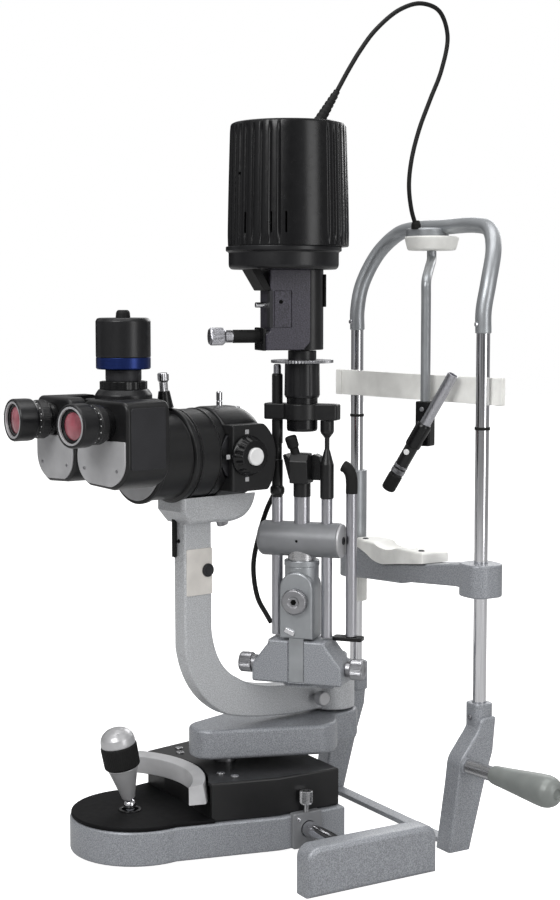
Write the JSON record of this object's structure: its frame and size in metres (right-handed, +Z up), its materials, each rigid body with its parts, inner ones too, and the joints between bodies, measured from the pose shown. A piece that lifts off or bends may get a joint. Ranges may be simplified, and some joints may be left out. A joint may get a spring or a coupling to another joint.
{
  "type": "slit lamp",
  "caption": "Ophthalmic slit lamp: headrest on two columns, joystick base on a cross axle, swinging binocular microscope and swinging slit illumination tower.",
  "frame": {"origin": "centre of the tie bar's underside, on the table", "axes": "+Z up, +Y from the operator towards the patient, +X to the operator's right"},
  "size_m": [0.511, 0.4918, 0.8549],
  "materials": {
    "hammertone_casting": "grey hammertone enamel",
    "dark_hammertone": "dark violet-grey hammertone enamel",
    "black_housing": "satin black enamel",
    "chrome_tube": "polished",
    "satin_steel": "satin",
    "silver_paint": "silver enamel",
    "white_plastic": "satin white",
    "black_rubber": "matt",
    "grip_plastic": "grey-green satin"
  },
  "bodies": {
    "root": {"tie_bar": "hammertone_casting", "bracket_right": "hammertone_casting", "bracket_left": "hammertone_casting", "column_right": "chrome_tube", "column_left": "chrome_tube", "hand_grip_right": "grip_plastic", "hand_grip_left": "grip_plastic", "bow_tube": "silver_paint", "forehead_band": "white_plastic", "bow_hub": "white_plastic", "rail_right": "hammertone_casting", "rail_left": "hammertone_casting"},
    "chin_rest": {"chin_rest_arm": "hammertone_casting", "chin_cup": "white_plastic"},
    "chin_nut": {"chin_height_nut": "white_plastic"},
    "fixation_arm": {"fixation_rod": "silver_paint"},
    "fixation_swivel": {"fixation_clamp": "black_housing"},
    "fixation_light": {"fixation_lamp": "black_housing"},
    "cross_axle": {"axle": "chrome_tube"},
    "wheels": {"axle_wheel_right": "satin_steel", "axle_wheel_left": "satin_steel"},
    "base": {"base_frame": "hammertone_casting", "base_top_plate": "black_housing", "base_cover": "black_housing", "base_trim": "silver_paint"},
    "base_lock": {"lock_screw": "satin_steel"},
    "joystick_pivot": {"joystick_ball": "chrome_tube"},
    "joystick_lever": {"joystick_stem": "satin_steel"},
    "joystick_handle": {"joystick_grip": "black_rubber"},
    "lift_carriage": {"carriage": "hammertone_casting"},
    "microscope": {"scope_arm": "hammertone_casting", "magnification_housing": "black_housing", "scope_tube": "black_housing", "beam_splitter": "black_housing"},
    "magnification": {"magnification_drum": "black_housing"},
    "splitter_lock": {"splitter_knob": "chrome_tube"},
    "camera": {"camera_module": "black_housing"},
    "prism_right": {"prism_housing_right": "black_housing"},
    "prism_left": {"prism_housing_left": "black_housing"},
    "ocular_right": {"eyepiece_right": "black_housing"},
    "ocular_left": {"eyepiece_left": "black_housing"},
    "scope_lock": {"scope_lock_knob": "satin_steel"},
    "illumination": {"illumination_arm": "hammertone_casting", "tower_foot": "hammertone_casting"},
    "slit_width": {"slit_width_knobs": "satin_steel"},
    "tower": {"tower_housing": "hammertone_casting", "tower_tube_left": "satin_steel", "tower_tube_right": "satin_steel", "prism_post": "black_housing", "lens_bracket": "black_housing", "projection_lens": "black_housing", "background_tube": "satin_steel", "tower_lead": "black_rubber"},
    "centring": {"centring_screw": "satin_steel"},
    "slit_head": {"upper_block": "dark_hammertone", "lamp_cap": "black_housing", "led_module": "satin_steel", "cord_relief": "black_rubber", "lamp_cord": "black_rubber"},
    "slit_length": {"slit_lever": "satin_steel"}
  },
  "joints": [
    {"name": "chin_height", "type": "slide", "parent": "root", "child": "chin_rest", "axis": [0, 0, 1], "range_m": [-0.03, 0.03]},
    {"name": "chin_nut_turn", "type": "hinge", "parent": "chin_rest", "child": "chin_nut", "pos_m": [-0.1125, 0.03, 0.24], "axis": [0, 0, 1], "range_deg": [-360.5, 360.5]},
    {"name": "fixation_swing", "type": "hinge", "parent": "root", "child": "fixation_arm", "pos_m": [-0.012, 0.057, 0.5986], "axis": [0, 0, 1], "range_deg": [-80, 0]},
    {"name": "fixation_turn", "type": "hinge", "parent": "fixation_arm", "child": "fixation_swivel", "pos_m": [0.034, 0.017, 0.42], "axis": [0, 0, -1], "range_deg": [-5, 40]},
    {"name": "fixation_tilt", "type": "hinge", "parent": "fixation_swivel", "child": "fixation_light", "pos_m": [0.034, 0.017, 0.4095], "axis": [0.5, -0.866, 0], "range_deg": [-10, 30]},
    {"name": "base_forward", "type": "slide", "parent": "root", "child": "cross_axle", "axis": [0, 1, 0], "range_m": [-0.045, 0.045]},
    {"name": "wheel_roll", "type": "hinge", "parent": "cross_axle", "child": "wheels", "pos_m": [0, -0.133, 0.023], "axis": [1, 0, 0], "range_deg": [-200, 200]},
    {"name": "base_sideways", "type": "slide", "parent": "cross_axle", "child": "base", "axis": [1, 0, 0], "range_m": [-0.001, 0.083]},
    {"name": "base_lock_turn", "type": "hinge", "parent": "base", "child": "base_lock", "pos_m": [0.0485, -0.135, 0.045], "axis": [0, 0, 1], "range_deg": [0, 90]},
    {"name": "joystick_fore", "type": "hinge", "parent": "base", "child": "joystick_pivot", "pos_m": [-0.042, -0.285, 0.047], "axis": [1, 0, 0], "range_deg": [-26, 4]},
    {"name": "joystick_side", "type": "hinge", "parent": "joystick_pivot", "child": "joystick_lever", "pos_m": [-0.042, -0.285, 0.047], "axis": [0, 0.9816, 0.1908], "range_deg": [-15, 15]},
    {"name": "joystick_twist", "type": "hinge", "parent": "joystick_lever", "child": "joystick_handle", "pos_m": [-0.042, -0.285, 0.047], "axis": [0, -0.1908, 0.9816], "range_deg": [-60.2, 240.2]},
    {"name": "lift", "type": "slide", "parent": "base", "child": "lift_carriage", "axis": [0, 0, 1], "range_m": [-0.005, 0.02]},
    {"name": "scope_swing", "type": "hinge", "parent": "lift_carriage", "child": "microscope", "pos_m": [-0.044, -0.046, 0.134], "axis": [0, 0, -1], "range_deg": [-45, 45]},
    {"name": "scope_lock_turn", "type": "hinge", "parent": "microscope", "child": "scope_lock", "pos_m": [-0.02971, -0.07614, 0.133], "axis": [0.9877, 0.1564, 0], "range_deg": [0, 90]},
    {"name": "magnification_change", "type": "hinge", "parent": "microscope", "child": "magnification", "pos_m": [-0.01975, -0.19909, 0.397], "axis": [0.9877, 0.1564, 0], "continuous": true},
    {"name": "splitter_lock_turn", "type": "hinge", "parent": "microscope", "child": "splitter_lock", "pos_m": [-0.01021, -0.25934, 0.4436], "axis": [0.0109, -0.0689, 0.9976], "range_deg": [0, 90]},
    {"name": "camera_turn", "type": "hinge", "parent": "microscope", "child": "camera", "pos_m": [-0.0027, -0.30675, 0.5], "axis": [0, 0, 1], "range_deg": [-90, 90]},
    {"name": "pupil_distance_right", "type": "hinge", "parent": "microscope", "child": "prism_right", "pos_m": [0.01711, -0.31677, 0.397], "axis": [0.1564, -0.9877, 0], "range_deg": [0, 8]},
    {"name": "pupil_distance_left", "type": "hinge", "parent": "microscope", "child": "prism_left", "pos_m": [-0.01845, -0.3224, 0.397], "axis": [0.1564, -0.9877, 0], "range_deg": [-8, 0]},
    {"name": "dioptre_right", "type": "hinge", "parent": "prism_right", "child": "ocular_right", "pos_m": [0.0504, -0.35241, 0.435], "axis": [0.2672, -0.9636, 0], "range_deg": [-90, 90]},
    {"name": "dioptre_left", "type": "hinge", "parent": "prism_left", "child": "ocular_left", "pos_m": [-0.03909, -0.36658, 0.435], "axis": [0.0436, -0.999, 0], "range_deg": [-90, 90]},
    {"name": "illumination_swing", "type": "hinge", "parent": "lift_carriage", "child": "illumination", "pos_m": [-0.044, -0.046, 0.16], "axis": [0, 0, 1], "range_deg": [-70, 25]},
    {"name": "slit_width_turn", "type": "hinge", "parent": "illumination", "child": "slit_width", "pos_m": [0.02092, -0.12337, 0.181], "axis": [0.766, 0.6428, 0], "range_deg": [-45, 45]},
    {"name": "tower_tilt", "type": "hinge", "parent": "illumination", "child": "tower", "pos_m": [0.02092, -0.12337, 0.181], "axis": [0.766, 0.6428, 0], "range_deg": [0, 4]},
    {"name": "centring_turn", "type": "hinge", "parent": "tower", "child": "centring", "pos_m": [0.03378, -0.13869, 0.25], "axis": [0.6428, -0.766, 0], "range_deg": [-90, 90]},
    {"name": "slit_rotation", "type": "hinge", "parent": "tower", "child": "slit_head", "pos_m": [0.02092, -0.12337, 0.5], "axis": [0, 0, 1], "range_deg": [-90, 90], "deforming": ["lamp_cord"]},
    {"name": "slit_length_turn", "type": "hinge", "parent": "slit_head", "child": "slit_length", "pos_m": [0.00984, -0.16471, 0.5115], "axis": [-0.2588, -0.9659, 0], "range_deg": [-60, 60]}
  ],
  "couplings": [
    {"joint": "chin_nut_turn", "follows": "chin_height", "rad_per_m": 209.44},
    {"joint": "wheel_roll", "follows": "base_forward", "rad_per_m": -76.923},
    {"joint": "joystick_twist", "follows": "lift", "rad_per_m": 209.44},
    {"joint": "pupil_distance_left", "follows": "pupil_distance_right", "ratio": -1}
  ]
}
